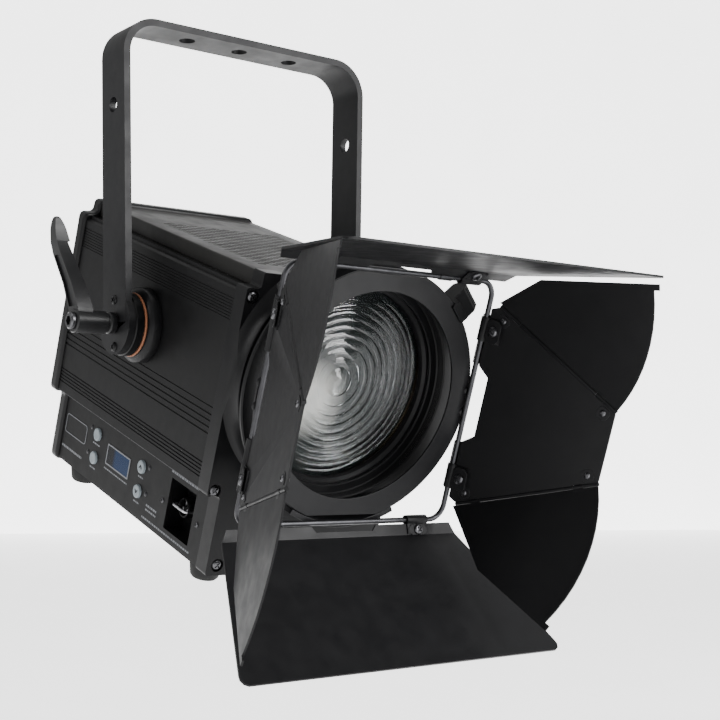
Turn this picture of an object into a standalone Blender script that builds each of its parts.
"""Fresnel spotlight: flat-bar yoke, tilt clamp, ribbed lamp body, zooming light engine, barn doors.

World frame: origin on the yoke's top face at its middle hole, +Z up, the lens faces -Y.
The lamp body has a frame of its own on the tilt axis: x across, y to the rear, z up.
Lengths below are in millimetres, and MM turns them into metres.
"""
import math
import bpy
import bmesh
from mathutils import Matrix, Vector

MM = 0.001
GAP = 0.3                 # clearance between pieces that touch

# Yoke
YOKE_BAR_W = 30.0
YOKE_BAR_T = 4.7
YOKE_HALF = 92.9          # outer half width at the pivots
YOKE_SPLAY = 4.0          # extra half width at the top
YOKE_DROP = 197.9         # top face down to the tilt axis
YOKE_BEND_R = 24.0
YOKE_HOLE_X = 41.3        # outer holes of the top run
ARM_HOLE_DROP = 56.8
ARM_END_R = 19.7
TILT_DEG = 19.6           # lens down

# Lamp body
HOOD_HALF = 62.2
HOOD_TOP = 61.3
SHOULDER_Z = 51.5
BODY_HALF = 71.9
WING_BOTTOM = -74.6
BASE_HALF = 62.5
BASE_BOTTOM = -125.7
BODY_FRONT = -99.7
BODY_REAR = 104.3
WALL_IN = 60.0            # inner face of the side extrusions
SKIN = 2.0
BEZEL_FRONT = -112.0
BEZEL_SEAT = -102.5       # floor of the recess that takes the barrel
COLLAR_FRONT = -122.0     # flared collar on the front bezel
COLLAR_R = 72.2
COLLAR_BASE_R = 77.2
COLLAR_BORE = 70.6
REAR_END = 114.6
FOOT_X = 48.0
FOOT_Y = 88.0
FOOT_H = 12.0

# Optics
LENS_Z = 0.8
BARREL_R = 70.0
FLANGE_R = 79.0
FLANGE_FRONT = -137.0
LENS_R = 66.5
RING_R = 79.1
RING_BORE = 64.3
RING_FRONT = -150.6
RING_FLAT = 74.7
CLIP_WALL_R = 79.5        # the ring plate lies inside this
CLIP_LIP_R = 76.4         # the clips' lips reach in to this, in front of the ring plate
LATCH_X = 92.0            # latch hinge, out from the lens axis
LATCH_Y = 139.0           # and forward of the tilt axis

# Barn doors
ROD_R = 1.8
ROD_HALF = 77.6
ROD_Y = -152.75
ROD_Z = -0.7              # wire frame centre above the lens axis
ROD_CORNER = 10.0
SHEET = 1.3
SIDE_OPEN = {"right": 23.1, "left": 21.7}
END_FLANGE = {"top": 46.0, "bottom": 58.9}
END_BEND = 32.0
END_FLANGE_LEN = 9.8
END_FACE_LEN = 95.0
END_CORNER = ((115.0, 7.0), (115.4, 4.2), (114.0, 1.4), (111.4, 0.0))   # half width, back from the front edge
END_NOTCH = ((-25.5, 1.0), (25.5, 1.0), (21.5, 6.0), (-21.5, 6.0))
FOLD_START = (63.9, 9.4)  # along the rod, away from the rod
FOLD_END = (22.3, 95.6)
WING_FOLD = {"right_upper": 13.8, "right_lower": 28.6, "left_upper": -1.3, "left_lower": -4.4}
WING_EDGE = {"upper": ((10.3, 32.0), (70.7, 80.9)),    # ends of a wing's long straight edge
             "lower": ((16.4, 45.5), (62.5, 87.0))}
WING_TAB = 3.6            # stop tab at the end of that edge
WING_ARC_MIDDLE = (87.8, 47.0)
HINGE_CLEAR = 1.5         # sheet edges stay this far from a fold's axis
SHEET_ROOT = 2.5          # and this far from a wire's axis
KNUCKLE_LEN = 6.0
WING_KNUCKLES = (9.6, 16.6)   # where a wing's knuckles start, from each end of the fold
NOTCH_HALF = 25.0
HEM_END = 57.0            # the rolled hem's end along the wire
NOTCH_DEPTH = 10.2        # from the wire's axis

# Controls
BUTTONS = {"button_up": (-14.8, -91.3), "button_down": (-14.7, -108.2),
           "button_menu": (51.4, -91.2), "button_enter": (51.5, -108.1)}
BUTTON_R = 4.5
DISPLAY = (1.5, 34.5, -106.0, -92.0)
RECESS = (-85.0, -53.5, -118.2, -84.6)
RECESS_FLOOR = -47.5
INLET_CENTRE = (-63.25, -101.4)
INLET_R = 6.6

# Zoom drive
ROD_X = 48.0
ROD_RISE = 40.0
CARRIAGE_BACK = -16.0


def clear_scene():
    for old in list(bpy.data.objects):
        bpy.data.objects.remove(old, do_unlink=True)


def frame(name, matrix, parent=None):
    """An empty that carries pieces and their joint axis."""
    empty = bpy.data.objects.new(name, None)
    bpy.context.scene.collection.objects.link(empty)
    empty.parent = parent
    empty.matrix_basis = matrix
    return empty


def basis(origin, along, outward):
    """Frame at origin (mm) with x along a hinge and y pointing away from it."""
    x = Vector(along).normalized()
    y = Vector(outward).normalized()
    z = x.cross(y)
    rotation = Matrix((x, y, z)).transposed().to_4x4()
    return Matrix.Translation(Vector(origin) * MM) @ rotation


def finish(name, rgb, metallic, roughness):
    mat = bpy.data.materials.new(name)
    mat.use_nodes = True
    shader = mat.node_tree.nodes["Principled BSDF"]
    shader.inputs["Base Color"].default_value = (*rgb, 1.0)
    shader.inputs["Metallic"].default_value = metallic
    shader.inputs["Roughness"].default_value = roughness
    return mat


BLACK = ((0.022, 0.022, 0.024), 0.25, 0.55)
GRAPHITE = ((0.055, 0.054, 0.056), 0.3, 0.5)
PLASTIC = ((0.02, 0.02, 0.022), 0.0, 0.5)
STEEL = ((0.55, 0.55, 0.56), 1.0, 0.32)
ALLOY = ((0.6, 0.6, 0.62), 1.0, 0.4)
ORANGE = ((0.62, 0.2, 0.06), 0.0, 0.6)
RUBBER = ((0.015, 0.015, 0.015), 0.0, 0.85)
GLASS = ((0.85, 0.88, 0.9), 0.0, 0.08)
KEYCAP = ((0.42, 0.46, 0.48), 0.0, 0.4)
SCREEN = ((0.0, 0.03, 0.12), 0.0, 0.15)
BOARD = ((0.03, 0.16, 0.07), 0.0, 0.6)
AMBER = ((0.85, 0.6, 0.15), 0.0, 0.35)


def node(name, mesh, parent, look, smooth=True):
    """One named piece with its own material."""
    obj = bpy.data.objects.new(name, mesh)
    bpy.context.scene.collection.objects.link(obj)
    obj.parent = parent
    if look:
        mesh.materials.append(finish(name + "_finish", *look))
    if smooth:
        mesh.shade_smooth()
        mesh.set_sharp_from_angle(angle=math.radians(35))
    return obj


def mesh_from(bm, name):
    bmesh.ops.recalc_face_normals(bm, faces=bm.faces)
    mesh = bpy.data.meshes.new(name)
    bm.to_mesh(mesh)
    bm.free()
    return mesh


AXES = {"x": (1, 2, 0), "y": (0, 2, 1), "z": (0, 1, 2)}


def prism(name, outline, axis, low, high):
    """Outline in the plane across an axis, drawn out from low to high along it."""
    first, second, third = AXES[axis]
    bm = bmesh.new()
    rings = []
    for level in (low, high):
        ring = []
        for a, b in outline:
            point = [0.0, 0.0, 0.0]
            point[first], point[second], point[third] = a * MM, b * MM, level * MM
            ring.append(bm.verts.new(point))
        rings.append(ring)
    bm.faces.new(rings[0])
    bm.faces.new(rings[1])
    count = len(outline)
    for i in range(count):
        j = (i + 1) % count
        bm.faces.new((rings[0][i], rings[0][j], rings[1][j], rings[1][i]))
    return mesh_from(bm, name)


def box(name, x0, x1, y0, y1, z0, z1):
    return prism(name, [(x0, y0), (x1, y0), (x1, y1), (x0, y1)], "z", z0, z1)


def circle(radius, sides, centre=(0.0, 0.0), start=0.0, sweep=360.0):
    """Points round a circle, or along an arc when the sweep is under a full turn."""
    count = sides if sweep >= 360.0 else sides + 1
    angles = [math.radians(start + sweep * i / sides) for i in range(count)]
    return [(centre[0] + radius * math.cos(a), centre[1] + radius * math.sin(a)) for a in angles]


def disc(name, radius, sides, axis, low, high, centre=(0.0, 0.0)):
    return prism(name, circle(radius, sides, centre), axis, low, high)


def turned(name, profile, sides, axis, centre=(0.0, 0.0)):
    """Closed profile of (radius, level) points turned about an axis."""
    first, second, third = AXES[axis]
    bm = bmesh.new()
    columns = []
    for radius, level in profile:
        column = []
        count = sides if radius > 0.0 else 1
        for i in range(count):
            angle = 2 * math.pi * i / sides
            point = [0.0, 0.0, 0.0]
            point[first] = (centre[0] + radius * math.cos(angle)) * MM
            point[second] = (centre[1] + radius * math.sin(angle)) * MM
            point[third] = level * MM
            column.append(bm.verts.new(point))
        columns.append(column)
    for k, column in enumerate(columns):
        after = columns[(k + 1) % len(columns)]
        if len(column) == 1 and len(after) == 1:
            continue
        for i in range(sides):
            j = (i + 1) % sides
            if len(column) == 1:
                bm.faces.new((column[0], after[i], after[j]))
            elif len(after) == 1:
                bm.faces.new((column[i], column[j], after[0]))
            else:
                bm.faces.new((column[i], column[j], after[j], after[i]))
    return mesh_from(bm, name)


def tube(name, path, radius, sides, closed=False):
    """Round wire along a path (mm) that lies in a plane."""
    bm = bmesh.new()
    points = [Vector(p) for p in path]
    count = len(points)
    normal = (points[1] - points[0]).cross(points[count // 2 + 1] - points[0]).normalized()
    rings = []
    for i, point in enumerate(points):
        before = points[i - 1] if (i > 0 or closed) else None
        after = points[(i + 1) % count] if (i < count - 1 or closed) else None
        arriving = (point - before).normalized() if before is not None else None
        leaving = (after - point).normalized() if after is not None else None
        tangent = ((arriving or leaving) + (leaving or arriving)).normalized()
        across = tangent.cross(normal)
        ring = []
        for k in range(sides):
            angle = 2 * math.pi * k / sides
            offset = across * math.cos(angle) + normal * math.sin(angle)
            ring.append(bm.verts.new((point + offset * radius) * MM))
        rings.append(ring)
    spans = count if closed else count - 1
    for i in range(spans):
        a, b = rings[i], rings[(i + 1) % count]
        for k in range(sides):
            m = (k + 1) % sides
            bm.faces.new((a[k], a[m], b[m], b[k]))
    if not closed:
        bm.faces.new(rings[0])
        bm.faces.new(rings[-1])
    return mesh_from(bm, name)


def joined(name, meshes):
    """Several closed shapes in one mesh, used as one cutter or one addition."""
    bm = bmesh.new()
    for mesh in meshes:
        bm.from_mesh(mesh)
    mesh = bpy.data.meshes.new(name)
    bm.to_mesh(mesh)
    bm.free()
    return mesh


def combine(obj, mesh, operation):
    """Cut a shape out of a piece, or fuse it on, with a hidden helper."""
    helper = node(obj.name + "_" + mesh.name, mesh, obj.parent, None, smooth=False)
    helper.matrix_basis = obj.matrix_basis
    helper.hide_render = True
    helper.display_type = "WIRE"
    modifier = obj.modifiers.new(mesh.name, "BOOLEAN")
    modifier.operation = operation
    modifier.solver = "EXACT"
    modifier.use_self = operation == "UNION"
    modifier.object = helper


def cut(obj, *meshes):
    combine(obj, joined("cut", meshes), "DIFFERENCE")


def fuse(obj, *meshes):
    combine(obj, joined("add", meshes), "UNION")


# ---------------------------------------------------------------- yoke and tilt clamp

def yoke_side(half, top, radius):
    """Right half of the bar's outline from the pivot up to the middle of the top run."""
    splay = YOKE_SPLAY * (YOKE_DROP - radius) / YOKE_DROP
    corner = circle(radius, 6, (half + splay - radius, top - radius), 0.0, 90.0)
    return [(half, -YOKE_DROP)] + corner


def yoke(parent):
    outer = yoke_side(YOKE_HALF, 0.0, YOKE_BEND_R)
    inner = yoke_side(YOKE_HALF - YOKE_BAR_T, -YOKE_BAR_T, YOKE_BEND_R - YOKE_BAR_T)
    half = outer + [(0.0, 0.0)]
    left = [(-x, z) for x, z in reversed(outer)]
    back = [(-x, z) for x, z in inner]
    outline = half + left + back + list(reversed(inner))
    bar = node("yoke", prism("yoke", outline, "y", -YOKE_BAR_W / 2, YOKE_BAR_W / 2), parent, BLACK)
    pivot = (0.0, -YOKE_DROP)
    ends = [disc("end", ARM_END_R, 28, "x", s * (YOKE_HALF - YOKE_BAR_T), s * YOKE_HALF, pivot)
            for s in (-1, 1)]
    fuse(bar, *ends)
    holes = [disc("hole", 5.4, 16, "z", -10, 5, (x, 0.0)) for x in (-YOKE_HOLE_X, 0.0, YOKE_HOLE_X)]
    holes.append(disc("arm_hole", 5.0, 16, "x", -110, 110, (0.0, -ARM_HOLE_DROP)))
    holes.append(disc("bore", 5.2, 16, "x", -110, 110, pivot))
    cut(bar, *holes)


def ring_about_x(name, parent, look, side, near, far, radius, bore, sides=28):
    """Flat ring on the tilt axis; near and far are distances from the lamp's middle."""
    low, high = sorted((side * near, side * far))
    profile = [(bore, low), (radius, low), (radius, high), (bore, high)]
    return node(name, turned(name, profile, sides, "x"), parent, look)


def tilt_stack(axis, side, word):
    """Hub on the body, then the coloured washer and the black disc that the arm clamps."""
    hub = [(4.9, 72.2), (24.4, 72.2), (24.4, 77.6), (22.4, 80.0), (4.9, 80.0)]
    profile = [(r, side * x) for r, x in hub]
    node("hub_" + word, turned("hub", profile, 28, "x"), axis["body"], BLACK)
    ring_about_x("friction_washer_" + word, axis["yoke"], ORANGE, side, 80.3, 81.7, 20.8, 4.9)
    ring_about_x("friction_disc_" + word, axis["yoke"], PLASTIC, side, 82.0, 87.9, 20.4, 4.9)


def pivot_bolt(name, parent, side, head_at, head_r, head_len):
    profile = [(0.0, 72.6), (4.5, 72.6), (4.5, head_at), (head_r, head_at),
               (head_r, head_at + head_len), (0.0, head_at + head_len)]
    bolt = node(name, turned(name, [(r, side * x) for r, x in profile], 20, "x"), parent, STEEL)
    low, high = sorted((side * (head_at + head_len - 3.0), side * (head_at + head_len + 1.0)))
    cut(bolt, disc("socket", 3.0, 6, "x", low, high))


def stack(name, sections):
    """Closed solid through rectangular sections (height, x0, x1, y0, y1) from bottom to top."""
    bm = bmesh.new()
    rings = []
    for z, x0, x1, y0, y1 in sections:
        corners = ((x0, y0), (x1, y0), (x1, y1), (x0, y1))
        rings.append([bm.verts.new((x * MM, y * MM, z * MM)) for x, y in corners])
    bm.faces.new(rings[0])
    bm.faces.new(rings[-1])
    for a, b in zip(rings, rings[1:]):
        for i in range(4):
            j = (i + 1) % 4
            bm.faces.new((a[i], a[j], b[j], b[i]))
    return mesh_from(bm, name)


LEVER_ARM = (             # height, outer x, inner x, front y, rear y
    (-5.5, -120.6, -110.6, -5.0, 5.4), (8.0, -120.8, -110.4, -5.0, 8.6),
    (24.4, -121.6, -111.9, 3.3, 14.9), (44.6, -124.0, -115.4, 14.6, 25.0),
    (52.0, -125.2, -117.6, 17.0, 26.2), (53.0, -125.3, -115.9, 17.3, 26.2),
    (60.0, -126.0, -118.2, 17.8, 25.4), (65.5, -126.2, -121.6, 17.0, 23.2),
    (68.0, -125.8, -123.6, 17.0, 20.6))


def clamp_lever(parent):
    """Hub round the clamping bolt, with an arm that leans back, splays out and ends in a hook."""
    lever = node("clamp_lever", turned("lever", [(4.8, -93.6), (7.4, -93.6), (7.6, -121.8), (4.8, -121.8)],
                                       20, "x"), parent, PLASTIC)
    fuse(lever, stack("arm", LEVER_ARM))
    cut(lever, disc("bore", 4.8, 20, "x", -130, -90))


# ---------------------------------------------------------------- body shell

def outline(out):
    """The lamp's stepped cross-section, grown outward by the given amount."""
    half = [(HOOD_HALF + out, HOOD_TOP + out), (HOOD_HALF + out, SHOULDER_Z + out),
            (BODY_HALF + out, SHOULDER_Z + out), (BODY_HALF + out, WING_BOTTOM - out),
            (BASE_HALF + out, WING_BOTTOM - out), (BASE_HALF + out, BASE_BOTTOM - out)]
    return half + [(-x, z) for x, z in reversed(half)]


def rib_profile():
    """Outer face of a side extrusion: fine upper ribs, a plain band, two groups of lower ribs."""
    groups = [(43.0, 29.0, 7), (-28.0, -43.5, 4), (-58.0, -69.3, 5)]
    points = [(WALL_IN, WING_BOTTOM), (WALL_IN, SHOULDER_Z), (BODY_HALF, SHOULDER_Z)]
    for high, low, count in groups:
        pitch = (high - low) / count
        for k in range(count):
            top = high - k * pitch
            points += [(BODY_HALF, top), (BODY_HALF - 1.6, top - 0.25 * pitch),
                       (BODY_HALF - 1.6, top - 0.5 * pitch), (BODY_HALF, top - 0.75 * pitch)]
    points.append((BODY_HALF, WING_BOTTOM))
    return points


def side_extrusions(body):
    for side, word in ((-1, "left"), (1, "right")):
        profile = [(side * x, z) for x, z in rib_profile()]
        mesh = prism("extrusion", profile, "y", BODY_FRONT, BODY_REAR)
        node("side_extrusion_" + word, mesh, body, GRAPHITE)


def top_cover(body):
    """Folded sheet cover with a field of vent slots."""
    half = [(HOOD_HALF, SHOULDER_Z + GAP), (HOOD_HALF, HOOD_TOP)]
    inner = [(HOOD_HALF - SKIN, HOOD_TOP - SKIN), (HOOD_HALF - SKIN, SHOULDER_Z + GAP)]
    mirrored = [(-x, z) for x, z in reversed(half)]
    back = [(-x, z) for x, z in reversed(inner)]
    section = half + mirrored + back + inner
    cover = node("top_cover", prism("cover", section, "y", BODY_FRONT, BODY_REAR), body, GRAPHITE)
    slots = []
    for column in (-32.0, 0.0, 32.0):
        for row in range(14):
            y = -76.0 + 9.0 * row
            slots.append(box("slot", column - 13, column + 13, y, y + 4, HOOD_TOP - 5, HOOD_TOP + 3))
    cut(cover, *slots)


def front_bezel(body):
    """Cast front frame; its flared collar is cut flat at the body's sides and top."""
    shape = prism("bezel", outline(1.0), "y", BEZEL_FRONT, BODY_FRONT - GAP)
    bezel = node("front_bezel", shape, body, BLACK)
    root = BEZEL_FRONT + 2.0
    flare = [(64.0, root), (COLLAR_BASE_R, root), (COLLAR_BASE_R, BEZEL_FRONT), (COLLAR_R + 1.6, -115.0),
             (COLLAR_R + 0.3, -118.5), (COLLAR_R, COLLAR_FRONT), (64.0, COLLAR_FRONT)]
    fuse(bezel, turned("collar", flare, 56, "y", (0.0, LENS_Z)))
    side = BODY_HALF + 1.0
    flats = [box("flat", *sorted((s * side, s * (side + 20.0))), -130, -95, -90, 90) for s in (-1, 1)]
    cut(bezel, *flats)
    cut(bezel, box("top_flat", -95, 95, -135, -90, HOOD_TOP + 0.8, 95))
    cut(bezel, disc("seat", COLLAR_BORE, 56, "y", COLLAR_FRONT - 5, BEZEL_SEAT, (0.0, LENS_Z)))
    cut(bezel, disc("bore", 56.0, 40, "y", COLLAR_FRONT - 5, BODY_FRONT + 5, (0.0, LENS_Z)))


def rear_frame(body):
    """Moulded rear frame, and the vented connector panel inside it."""
    bezel = node("rear_bezel", prism("rear", outline(2.2), "y", BODY_REAR + GAP, REAR_END), body, PLASTIC)
    cut(bezel, prism("window", outline(-5.0), "y", BODY_REAR - 5, REAR_END + 5))
    panel = prism("panel", outline(-5.0 - GAP), "y", BODY_REAR + GAP, BODY_REAR + 4.0)
    back = node("rear_panel", panel, body, GRAPHITE)
    slots = []
    for column in (-30.0, 30.0):
        for row in range(8):
            z = -44.0 + 11.0 * row
            slots.append(box("slot", column - 22, column + 22, 90, 120, z, z + 5))
    cut(back, *slots)
    jacks = [disc("jack", 11.0, 20, "y", BODY_REAR + 3.0, BODY_REAR + 8.0, (x, -97.0)) for x in (-28.0, 28.0)]
    fuse(back, *jacks)


def lower_housing(body):
    """Control side, service side and floor of the box under the extrusions."""
    top = WING_BOTTOM - GAP
    panel = node("control_panel", box("panel", -BASE_HALF, -BASE_HALF + SKIN, BODY_FRONT, BODY_REAR,
                                      BASE_BOTTOM, top), body, GRAPHITE)
    y0, y1, z0, z1 = DISPLAY
    holes = [box("window", -70, -50, y0, y1, z0, z1)]
    y0, y1, z0, z1 = RECESS
    holes.append(box("recess", -70, -50, y0, y1, z0, z1))
    for y, z in BUTTONS.values():
        holes.append(disc("button_hole", BUTTON_R + GAP, 20, "x", -70, -50, (y, z)))
    cut(panel, *holes)
    node("service_panel", box("service", BASE_HALF - SKIN, BASE_HALF, BODY_FRONT, BODY_REAR,
                              BASE_BOTTOM, top), body, GRAPHITE)
    inner = BASE_HALF - SKIN - GAP
    node("floor_plate", box("floor", -inner, inner, BODY_FRONT, BODY_REAR, BASE_BOTTOM, BASE_BOTTOM + SKIN),
         body, GRAPHITE)


def feet(body):
    for x, across in ((-FOOT_X, "left"), (FOOT_X, "right")):
        for y, along in ((-FOOT_Y, "front"), (FOOT_Y, "rear")):
            profile = [(0.0, BASE_BOTTOM - GAP), (11.0, BASE_BOTTOM - GAP),
                       (9.0, BASE_BOTTOM - FOOT_H), (0.0, BASE_BOTTOM - FOOT_H)]
            node("foot_" + along + "_" + across, turned("foot", profile, 20, "z", (x, y)), body, RUBBER)


# ---------------------------------------------------------------- controls and inlet

def controls(body):
    y0, y1, z0, z1 = DISPLAY
    node("display", box("display", -BASE_HALF + 0.3, -BASE_HALF + 4, y0 + GAP, y1 - GAP, z0 + GAP, z1 - GAP),
         body, SCREEN)
    for name, (y, z) in BUTTONS.items():
        holder = frame(name + "_travel", Matrix.Translation(Vector((-BASE_HALF, y, z)) * MM), body)
        profile = [(0.0, 5.0), (BUTTON_R, 5.0), (BUTTON_R, -1.0), (BUTTON_R - 0.7, -1.7), (0.0, -1.7)]
        node(name, turned("button", profile, 20, "x"), holder, KEYCAP)


def inlet(body):
    """Recessed mains inlet with a bent-wire bail that holds its plug."""
    y0, y1, z0, z1 = RECESS
    wall = 1.5
    tray = node("inlet_recess", box("tray", -BASE_HALF + SKIN + GAP, RECESS_FLOOR, y0 - wall, y1 + wall,
                                    z0 - wall, z1 + wall), body, PLASTIC)
    cut(tray, box("pocket", -70, RECESS_FLOOR - wall, y0, y1, z0, z1))
    face = RECESS_FLOOR - wall - GAP
    bore = INLET_R - 1.4
    profile = [(0.0, face), (INLET_R, face), (INLET_R, -56.5), (bore, -56.5), (bore, -50.8), (0.0, -50.8)]
    node("mains_inlet", turned("inlet", profile, 24, "x", INLET_CENTRE), body, PLASTIC)
    pivot = Matrix.Translation(Vector((-51.0, *INLET_CENTRE)) * MM)
    hinge = frame("bail_hinge", pivot, body)
    reach = 9.0
    half = 8.3
    corner = circle(2.5, 3, (-reach + 2.5, half - 2.5), 90.0, 90.0)
    side = [(0.0, half)] + corner
    path = [(x, y, 0.0) for x, y in side] + [(x, -y, 0.0) for x, y in reversed(side)]
    node("inlet_bail", tube("bail", path, 0.9, 8), hinge, STEEL)


# ---------------------------------------------------------------- optics

def barrel(body):
    """Round lens tube with a front flange, a rear shoulder and a front lip."""
    rear = BEZEL_SEAT - GAP
    profile = [(63.5, rear), (BARREL_R, rear), (BARREL_R, -134.0), (FLANGE_R, -134.0),
               (FLANGE_R, FLANGE_FRONT), (68.6, FLANGE_FRONT), (68.6, -130.6), (63.0, -130.0),
               (63.0, -127.4), (LENS_R + GAP, -127.4), (LENS_R + GAP, -116.6), (63.5, -116.6)]
    node("barrel", turned("barrel", profile, 56, "y", (0.0, LENS_Z)), body, BLACK)


def fresnel_lens(body):
    """Flat-backed lens whose front rises in concentric steps."""
    rings = 6
    centre_r = 14.0
    width = (59.0 - centre_r) / rings
    profile = [(0.0, -117.0), (LENS_R, -117.0), (LENS_R, -119.0)]
    for k in range(rings):
        outer = 59.0 - k * width
        profile += [(outer, -119.0), (outer - width + 0.4, -120.4 - 0.2 * (rings - k))]
    profile += [(centre_r, -119.2), (centre_r * 0.6, -121.4), (0.0, -122.0)]
    node("fresnel_lens", turned("lens", profile, 48, "y", (0.0, LENS_Z)), body, GLASS)
    retainer = [(59.6, -122.6), (LENS_R, -119.3), (LENS_R, -127.1), (62.0, -127.1)]
    node("lens_retainer", turned("retainer", retainer, 48, "y", (0.0, LENS_Z)), body, BLACK)


def clip_frame(name, degrees, body):
    """x runs outward from the lens axis, y along the circle, z along the beam."""
    angle = math.radians(degrees)
    out = (math.cos(angle), 0.0, math.sin(angle))
    along = (-math.sin(angle), 0.0, math.cos(angle))
    return frame(name, basis((0.0, 0.0, LENS_Z), out, along), body)


def accessory_clips(body):
    """Two fixed holders, a curved shelf under the ring, and one latch that opens."""
    for degrees, word in ((135.0, "upper_left"), (225.0, "lower_left")):
        seat = clip_frame("seat_" + word, degrees, body)
        mesh = clip_mesh("clip", seat, 0.0)
        node("accessory_clip_" + word, mesh, seat, BLACK)
    arc = circle(CLIP_WALL_R, 14, (0.0, LENS_Z), 242.0, 56.0)
    arc += reversed(circle(CLIP_WALL_R + 3.4, 14, (0.0, LENS_Z), 242.0, 56.0))
    shelf = prism("shelf", arc, "y", -150.3, FLANGE_FRONT - GAP)
    node("accessory_shelf", shelf, body, BLACK)
    seat = clip_frame("seat_upper_right", 45.0, body)
    hinge = frame("latch_hinge", Matrix.Translation(Vector((LATCH_X, 0.0, LATCH_Y * clip_sign(seat))) * MM),
                  seat)
    node("accessory_latch", clip_mesh("latch", seat, LATCH_X), hinge, BLACK)


def clip_sign(seat):
    """The clip frame's z axis points along +Y or -Y of the body."""
    return -1.0 if (seat.matrix_basis.to_3x3() @ Vector((0, 0, 1))).y > 0 else 1.0


def clip_mesh(name, seat, shift):
    """Block behind the wire frame whose lip overlaps the ring plate's front edge."""
    sign = clip_sign(seat)
    drop = LATCH_Y if shift else 0.0
    wall, outer = CLIP_WALL_R, 95.0
    section = [(wall, 137.4), (outer - 4.0, 137.4), (outer, 141.0), (outer, 146.0), (outer - 5.0, 149.2),
               (82.0, 149.2), (82.0, 152.4), (CLIP_LIP_R, 152.4), (CLIP_LIP_R, 150.9), (wall, 150.9)]
    profile = [(r - shift, (y - drop) * sign) for r, y in section]
    block = prism(name, profile, "y", -9.0, 9.0)
    for vert in block.vertices:
        forward = vert.co.z / MM * sign + drop
        if forward > 149.5:
            vert.co.y *= 0.75
    return block


# ---------------------------------------------------------------- barn doors

def ring_plate(doors):
    """Flat ring that sits in the clips, with a flat at the top and the bottom."""
    flat = math.degrees(math.asin(RING_FLAT / RING_R))
    right = circle(RING_R, 22, (0.0, 0.0), -flat, 2 * flat)
    left = circle(RING_R, 22, (0.0, 0.0), 180.0 - flat, 2 * flat)
    shape = prism("ring", right + left, "y", RING_FRONT, RING_FRONT + 1.5)
    plate = node("door_ring", shape, doors, GRAPHITE)
    cut(plate, disc("bore", RING_BORE, 48, "y", RING_FRONT - 5, RING_FRONT + 5))


def wire_frame(doors):
    """Square of round wire with rounded corners, in front of the ring plate."""
    corner = ROD_HALF - ROD_CORNER
    path = []
    for quarter, (sx, sz) in enumerate(((1, 1), (-1, 1), (-1, -1), (1, -1))):
        centre = (sx * corner, ROD_Z + sz * corner)
        path += circle(ROD_CORNER, 5, centre, 90.0 * quarter, 90.0)
    node("door_frame", tube("wire", [(x, ROD_Y, z) for x, z in path], ROD_R, 10, closed=True), doors, STEEL)


def rod_clip(along, length, reach):
    """Strip bent round the wire, with a tab on each face of its leaf."""
    outer_r, inner_r, strip = 3.1, 2.1, 1.6
    core = 0.6
    outer_a = math.degrees(math.asin(strip / outer_r))
    inner_a = math.degrees(math.asin(core / inner_r))
    outer_arc = circle(outer_r, 9, (0.0, 0.0), outer_a, 360.0 - 2 * outer_a - 0.001)
    inner_arc = circle(inner_r, 9, (0.0, 0.0), inner_a, 360.0 - 2 * inner_a - 0.001)
    section = [(reach, strip)] + outer_arc + [(reach, -strip), (reach, -core)]
    section += list(reversed(inner_arc)) + [(reach, core)]
    return prism("clip", section, "x", along - length / 2, along + length / 2)


def sheet(name, outline_points, thickness=SHEET):
    return prism(name, outline_points, "z", -thickness / 2, thickness / 2)


def fold_basis(sign):
    """Start point, direction along a side leaf's fold and direction across it."""
    start = Vector((sign * FOLD_START[0], FOLD_START[1], 0.0))
    along = (Vector((sign * FOLD_END[0], FOLD_END[1], 0.0)) - start).normalized()
    across = Vector((sign * along.y, abs(along.x), 0.0))
    return start, along, across


def fold_length():
    return math.dist(FOLD_START, FOLD_END)


def knuckle(start, along, across, side, low, high):
    """Hinge barrel on a fold's axis, with a web back to the sheet on one side of it."""
    section = [(-3.0, 0.6), (-1.1, 0.6)] + circle(1.25, 8, (0.0, 0.0), 151.3, -302.6)[1:-1]
    section += [(-1.1, -0.6), (-3.0, -0.6)]
    mesh = prism("knuckle", [(side * v, n) for v, n in section], "x", low, high)
    place = Matrix((along, across, along.cross(across))).transposed().to_4x4()
    place.translation = start * MM
    mesh.transform(place)
    if place.determinant() < 0:
        mesh.flip_normals()
    return mesh


def hem(start, end):
    """Sheet rolled round the outer side of the wire, from the leaf's root edge."""
    outer_r, inner_r = 2.9, 2.15
    section = circle(outer_r, 9, (0.0, 0.0), 0.0, 165.0)
    section += reversed(circle(inner_r, 9, (0.0, 0.0), 0.0, 165.0))
    return prism("hem", section, "x", start, end)


def side_leaf(word, hinge):
    """Trapezoid leaf, notched at its wire, whose slanted edges carry the folding wings."""
    start, along, across = fold_basis(1)
    inner = start - across * HINGE_CLEAR - along * 2.0
    outer = Vector((FOLD_END[0], FOLD_END[1], 0.0)) - across * HINGE_CLEAR
    half = [(NOTCH_HALF - 6.0, NOTCH_DEPTH), (NOTCH_HALF, SHEET_ROOT), (inner.x - 2.0, SHEET_ROOT),
            (inner.x, inner.y), (outer.x, outer.y)]
    points = half + [(-s, r) for s, r in reversed(half)]
    leaf = node("leaf_" + word, sheet("leaf", points), hinge, BLACK)
    extras = [rod_clip(s, 15.0, 12.4) for s in (-48.0, 48.0)]
    extras += [hem(NOTCH_HALF + 0.6, HEM_END), hem(-HEM_END, -NOTCH_HALF - 0.6)]
    length = fold_length()
    near, far = WING_KNUCKLES
    spans = ((-1.5, near - GAP), (near + KNUCKLE_LEN + GAP, length - far - GAP),
             (length - far + KNUCKLE_LEN + GAP, length - GAP))
    for sign in (-1, 1):
        place = fold_basis(sign)
        for low, high in spans:
            extras.append(knuckle(*place, 1.0, low, high))
    fuse(leaf, *extras)


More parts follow.
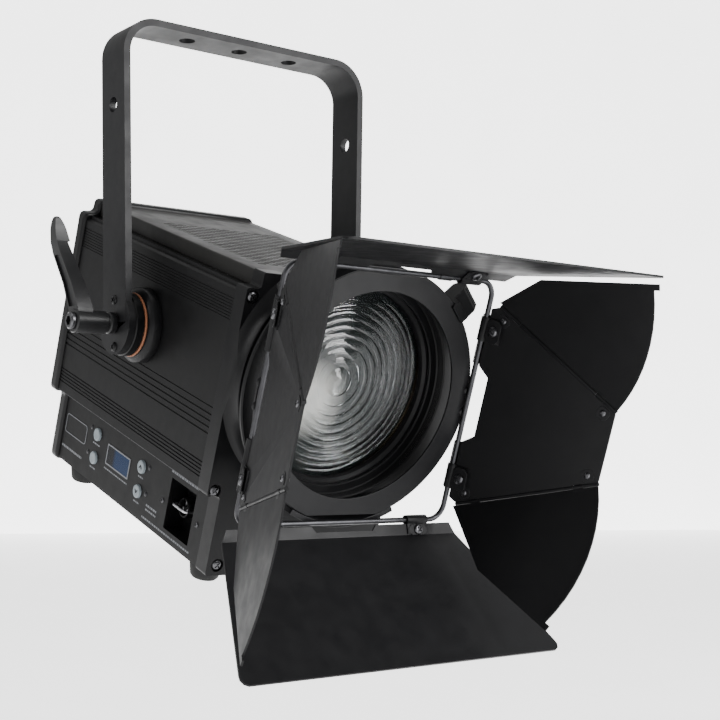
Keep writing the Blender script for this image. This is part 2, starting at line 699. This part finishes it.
def arc_through(a, b, c, steps):
    """Points on the circle through three points, from a to c."""
    ax, ay = a
    bx, by = b
    cx, cy = c
    d = 2 * (ax * (by - cy) + bx * (cy - ay) + cx * (ay - by))
    squares = [ax * ax + ay * ay, bx * bx + by * by, cx * cx + cy * cy]
    ux = (squares[0] * (by - cy) + squares[1] * (cy - ay) + squares[2] * (ay - by)) / d
    uy = (squares[0] * (cx - bx) + squares[1] * (ax - cx) + squares[2] * (bx - ax)) / d
    radius = math.hypot(ax - ux, ay - uy)
    first = math.atan2(ay - uy, ax - ux)
    last = math.atan2(cy - uy, cx - ux)
    angles = [first + (last - first) * i / steps for i in range(steps + 1)]
    return [(ux + radius * math.cos(t), uy + radius * math.sin(t)) for t in angles]


def wing(word, parent):
    """Folding wing: short inner edge, long straight edge that ends in a tab, curved outer edge."""
    length = fold_length()
    elbow, tip = WING_EDGE[word.split("_")[1]]
    edge = (Vector(tip) - Vector(elbow)).normalized() * WING_TAB
    outer = Vector(tip) + Vector((edge.y, -edge.x))
    curve = arc_through(tuple(outer - edge), WING_ARC_MIDDLE, (length - 0.5, HINGE_CLEAR), 10)
    points = [(-3.3, HINGE_CLEAR), elbow, tip, tuple(outer)] + curve
    piece = node("wing_" + word, sheet("wing", points, 1.1), parent, BLACK)
    extras = []
    unit = (Vector((0, 0, 0)), Vector((1, 0, 0)), Vector((0, 1, 0)))
    for low in (WING_KNUCKLES[0], length - WING_KNUCKLES[1]):
        extras.append(knuckle(*unit, -1.0, low, low + KNUCKLE_LEN))
    fuse(piece, *extras)


def side_doors(doors):
    for word, side in (("right", 1), ("left", -1)):
        swing = math.radians(SIDE_OPEN[word])
        outward = (side * math.sin(swing), -math.cos(swing), 0.0)
        place = basis((side * ROD_HALF, ROD_Y, ROD_Z), (0, 0, side), outward)
        hinge = frame("hinge_leaf_" + word, place, doors)
        side_leaf(word, hinge)
        for level, rise in (("upper", 1), ("lower", -1)):
            sign = side * rise
            start, along, across = fold_basis(sign)
            place = basis(start, along, across)
            fold = math.radians(WING_FOLD[word + "_" + level]) * sign
            turn = Matrix.Rotation(fold, 4, "X")
            joint = frame("hinge_wing_" + word + "_" + level, place @ turn, hinge)
            wing(word + "_" + level, joint)


def end_leaf(word, flange_deg, side, doors):
    """Top or bottom leaf: a short flange at the wire, then a bent face that widens forward."""
    rise = math.radians(flange_deg)
    outward = (0.0, -math.cos(rise), side * math.sin(rise))
    origin = (0.0, ROD_Y, ROD_Z + side * ROD_HALF)
    hinge = frame("hinge_leaf_" + word, basis(origin, (-side, 0, 0), outward), doors)
    bend = math.radians(END_BEND)
    half = SHEET / 2
    rows = [(83.9, SHEET_ROOT, 0.0, 0.0, half),
            (87.5, END_FLANGE_LEN, 0.0, half * math.tan(bend / 2), half)]
    for width, back in END_CORNER:
        reach = END_FACE_LEN - back
        rows.append((width, END_FLANGE_LEN + reach * math.cos(bend), -reach * math.sin(bend),
                     half * math.sin(bend), half * math.cos(bend)))
    bm = bmesh.new()
    sections = []
    for width, r, n, dr, dn in rows:
        sections.append([bm.verts.new(Vector((s * width, r + k * dr, n + k * dn)) * MM)
                         for s, k in ((-1, -1), (1, -1), (1, 1), (-1, 1))])
    bm.faces.new(sections[0])
    bm.faces.new(sections[-1])
    for a, b in zip(sections, sections[1:]):
        for i in range(4):
            j = (i + 1) % 4
            bm.faces.new((a[i], a[j], b[j], b[i]))
    leaf = node("leaf_" + word, mesh_from(bm, "leaf"), hinge, BLACK)
    notch = sheet("notch", END_NOTCH, 8.0)
    cut(leaf, notch)
    fuse(leaf, *[rod_clip(s, 16.0, 9.0) for s in (-56.5, 56.5)])


def barn_doors(body):
    doors = frame("door_axis", Matrix.Translation(Vector((0.0, 0.0, LENS_Z)) * MM), body)
    ring_plate(doors)
    wire_frame(doors)
    side_doors(doors)
    end_leaf("top", END_FLANGE["top"], 1, doors)
    end_leaf("bottom", END_FLANGE["bottom"], -1, doors)


# ---------------------------------------------------------------- inside the lamp

def drive(body):
    """Two guide rods, a lead screw and its motor."""
    front, rear = BODY_FRONT + GAP, BODY_REAR
    for name, x, z in (("guide_rod_left", -ROD_X, ROD_RISE), ("guide_rod_right", ROD_X, -ROD_RISE)):
        node(name, disc(name, 3.0, 16, "y", front, rear, (x, z + LENS_Z)), body, STEEL)
    screw = frame("screw_axis", Matrix.Translation(Vector((ROD_X, 0.0, ROD_RISE + LENS_Z)) * MM), body)
    node("lead_screw", disc("lead_screw", 3.0, 16, "y", front, 79.6), screw, STEEL)
    centre = ROD_RISE + LENS_Z
    node("zoom_motor", box("motor", ROD_X - 10, ROD_X + 10, 80.0, 103.6, centre - 10, centre + 10), body,
         GRAPHITE)


def light_engine(body):
    """Carriage with the light source in front and its heat sink and fan behind."""
    slide = frame("zoom_slide", Matrix.Identity(4), body)
    plate = box("plate", -54, 54, CARRIAGE_BACK - 4, CARRIAGE_BACK, LENS_Z - 46, LENS_Z + 46)
    carriage = node("zoom_carriage", plate, slide, ALLOY)
    corners = [(-ROD_X, ROD_RISE), (ROD_X, -ROD_RISE), (ROD_X, ROD_RISE)]
    cut(carriage, *[disc("bore", 3.3, 16, "y", -40, 10, (x, z + LENS_Z)) for x, z in corners])
    front = CARRIAGE_BACK - 4 - GAP
    source = [(0.0, front), (24.0, front), (24.0, front - 3), (16.0, front - 4), (14.0, front - 9),
              (8.0, front - 12.5), (0.0, front - 14)]
    node("led_engine", turned("source", source, 28, "y", (0.0, LENS_Z)), slide, AMBER)
    start = CARRIAGE_BACK + GAP
    fins = 9
    pitch = 80.0 / (2 * fins - 1)
    comb = [(-40.0, start), (40.0, start)]
    for k in range(fins):
        right = 40.0 - 2 * k * pitch
        comb += [(right, start + 36), (right - pitch, start + 36)]
        if k < fins - 1:
            comb += [(right - pitch, start + 6), (right - 2 * pitch, start + 6)]
    node("heat_sink", prism("sink", comb, "z", LENS_Z - 40, LENS_Z + 40), slide, ALLOY, smooth=False)
    fan(slide, start + 36 + GAP)


def fan(slide, front):
    """Square fan frame with a rear bar, and a seven-blade rotor."""
    back = front + 15
    housing = node("fan_frame", box("fan", -40, 40, front, back, LENS_Z - 40, LENS_Z + 40), slide, PLASTIC)
    cut(housing, disc("throat", 37.5, 36, "y", front - 5, back + 5, (0.0, LENS_Z)))
    fuse(housing, box("bar", -39, 39, back - 2, back, LENS_Z - 5, LENS_Z + 5))
    axis = frame("fan_axis", Matrix.Translation(Vector((0.0, 0.0, LENS_Z)) * MM), slide)
    rotor = node("fan_rotor", disc("hub", 15.0, 28, "y", front + 1, back - 2 - GAP), axis, PLASTIC)
    blades = []
    for k in range(7):
        blade = box("blade", 13.5, 36.0, -1.0, 1.0, -6.5, 6.5)
        pitch = Matrix.Rotation(math.radians(52), 4, "X")
        turn = Matrix.Rotation(2 * math.pi * k / 7, 4, "Y")
        centre = Matrix.Translation(Vector((0.0, front + 6.6, 0.0)) * MM)
        blade.transform(centre @ turn @ pitch)
        blades.append(blade)
    fuse(rotor, *blades)


def power_supply(body):
    """Driver board in the lower housing, with its transformer, capacitors and heat spreader."""
    floor = BASE_BOTTOM + SKIN + GAP
    supply = node("power_supply", box("board", -34, 50, -40, 90, floor, floor + 4), body, BOARD)
    parts = [box("transformer", 5, 40, 20, 50, floor + 3, floor + 30),
             box("spreader", -30, -26, -30, 80, floor + 3, floor + 28),
             disc("capacitor", 11.0, 20, "z", floor + 3, floor + 32, (20.0, -15.0)),
             box("filter", 0, 36, 62, 82, floor + 3, floor + 20)]
    fuse(supply, *parts)


def build():
    clear_scene()
    pivot = Matrix.Translation(Vector((0.0, 0.0, -YOKE_DROP)) * MM)
    held = frame("yoke_axis", pivot)
    body = frame("tilt_axis", pivot @ Matrix.Rotation(math.radians(TILT_DEG), 4, "X"))
    yoke(None)
    axis = {"yoke": held, "body": body}
    tilt_stack(axis, -1, "left")
    tilt_stack(axis, 1, "right")
    pivot_bolt("pivot_bolt_left", held, -1, 122.1, 5.4, 2.8)
    pivot_bolt("pivot_bolt_right", held, 1, 93.2, 9.0, 6.0)
    clamp_lever(held)
    side_extrusions(body)
    top_cover(body)
    front_bezel(body)
    rear_frame(body)
    lower_housing(body)
    feet(body)
    controls(body)
    inlet(body)
    barrel(body)
    fresnel_lens(body)
    accessory_clips(body)
    barn_doors(body)
    drive(body)
    light_engine(body)
    power_supply(body)


build()
